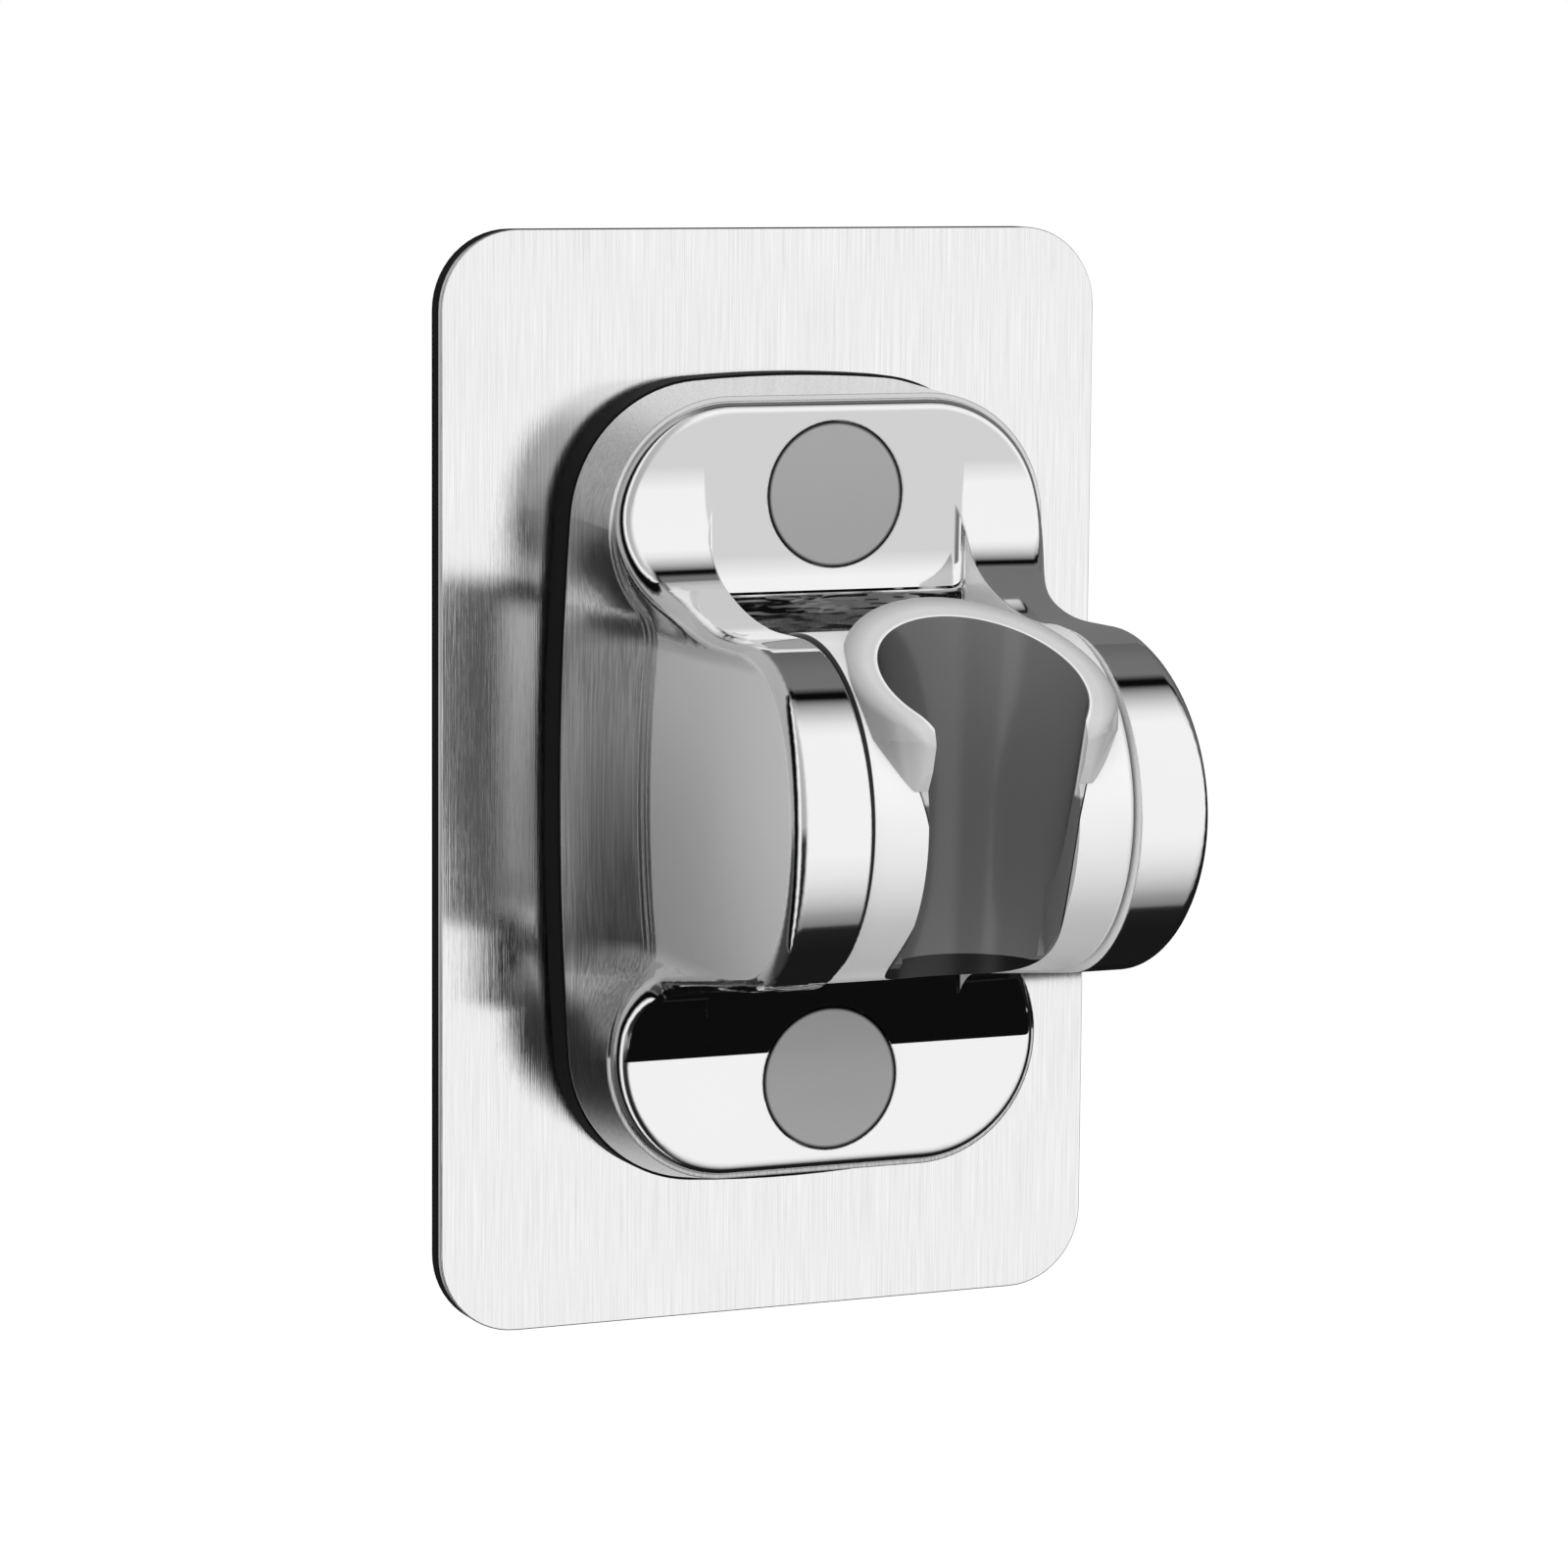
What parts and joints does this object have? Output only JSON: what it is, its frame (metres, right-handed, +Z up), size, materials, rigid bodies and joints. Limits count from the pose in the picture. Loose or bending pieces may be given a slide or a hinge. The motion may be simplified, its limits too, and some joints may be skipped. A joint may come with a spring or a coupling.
{
  "type": "hand shower holder",
  "caption": "Wall bracket with a tilting slotted cradle that holds a hand shower's cone, on an adhesive wall panel.",
  "frame": {"origin": "centre of the adhesive pad's wall face", "axes": "+Z up, +Y into the wall, +X to the right as seen from the front; the holder lies at y below zero"},
  "size_m": [0.08, 0.0655, 0.124],
  "materials": {
    "adhesive_foam": "matte black closed-cell foam tape",
    "brushed_panel": "fine upright brush lines",
    "gasket_rubber": "matte black",
    "chrome_shell": "mirror",
    "chrome_barrel": "mirror",
    "chrome_cap": "mirror",
    "liner_plastic": "satin pale grey",
    "steel_fixing": "plain stainless",
    "spring_steel": "drawn wire",
    "bush_plastic": "plain moulded",
    "ring_rubber": "matte black"
  },
  "bodies": {
    "bracket": {"adhesive_pad": "adhesive_foam", "wall_panel": "brushed_panel", "mounting_gasket": "gasket_rubber", "bracket_body": "chrome_shell", "panel_stud_upper": "steel_fixing", "panel_stud_lower": "steel_fixing", "stud_washer_upper": "steel_fixing", "stud_washer_lower": "steel_fixing", "stud_nut_upper": "steel_fixing", "stud_nut_lower": "steel_fixing", "screw_cap_upper": "chrome_cap", "screw_cap_lower": "chrome_cap", "pivot_bush_right": "bush_plastic", "pivot_bush_left": "bush_plastic"},
    "cradle": {"cradle_barrel": "chrome_barrel", "cradle_liner": "liner_plastic", "pivot_pin_right": "steel_fixing", "pivot_pin_left": "steel_fixing", "pin_guide_right": "bush_plastic", "pin_guide_left": "bush_plastic", "pin_spring_right": "spring_steel", "pin_spring_left": "spring_steel", "friction_ring_right": "ring_rubber", "friction_ring_left": "ring_rubber"}
  },
  "joints": [
    {"name": "cradle_tilt", "type": "hinge", "parent": "bracket", "child": "cradle", "pos_m": [0, -0.04533, 0.00223], "axis": [1, 0, 0], "range_deg": [-15, 60]}
  ]
}
